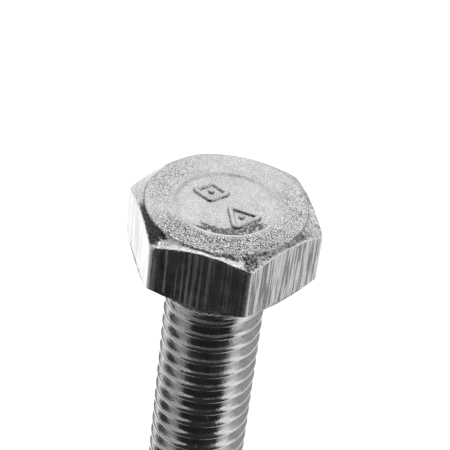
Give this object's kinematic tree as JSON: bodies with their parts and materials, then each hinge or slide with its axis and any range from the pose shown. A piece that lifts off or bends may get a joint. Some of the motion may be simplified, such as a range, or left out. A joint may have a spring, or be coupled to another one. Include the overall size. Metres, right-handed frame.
{
  "type": "hex bolt",
  "caption": "Hex head machine bolt with a chamfered, shallowly recessed head, a short plain neck and a right-hand metric thread to the tip.",
  "frame": {"origin": "centre of the bearing face under the head", "axes": "+Z along the bolt's axis out of the top of the head, so the tip is at -Z; two corners of the hexagon lie on X and two flats face +Y and -Y"},
  "size_m": [0.0116, 0.01, 0.029],
  "materials": {
    "bright_steel": "zinc plated, satin",
    "rolled_steel": "zinc plated over a rolled surface, bright"
  },
  "bodies": {
    "root": {"hex_head": "bright_steel", "head_marks": "bright_steel", "plain_neck": "rolled_steel", "threaded_shank": "rolled_steel"}
  },
  "joints": []
}
